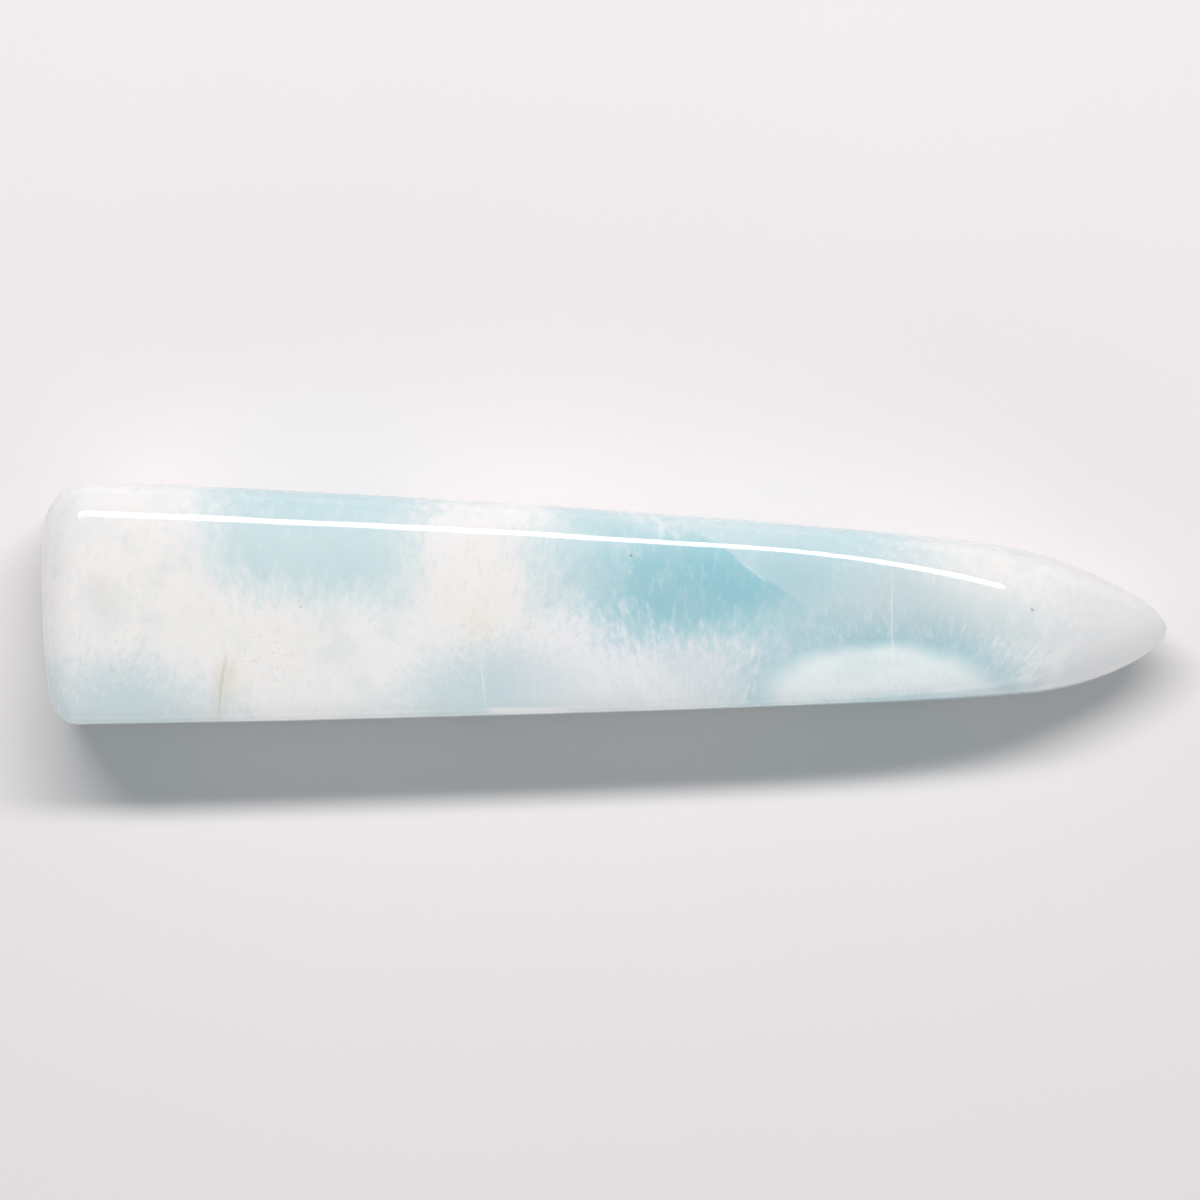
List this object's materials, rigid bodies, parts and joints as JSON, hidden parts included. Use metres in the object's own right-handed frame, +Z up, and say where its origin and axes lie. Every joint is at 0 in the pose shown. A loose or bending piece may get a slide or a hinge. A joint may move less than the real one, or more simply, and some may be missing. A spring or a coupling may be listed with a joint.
{
  "type": "larimar massage wand",
  "caption": "Tapered polished stone wand with a soft square section, a broad gently convex end and a rounded point, lying on its flat underside.",
  "frame": {"origin": "on the surface that the wand lies on, below the middle of its bounding box", "axes": "+X along the wand towards its point, +Y across it, +Z up from the flat underside"},
  "size_m": [0.095, 0.0204, 0.0155],
  "materials": {
    "larimar": "polished, glossy, pale sky-blue and white"
  },
  "bodies": {
    "root": {"wand": "larimar"}
  },
  "joints": []
}
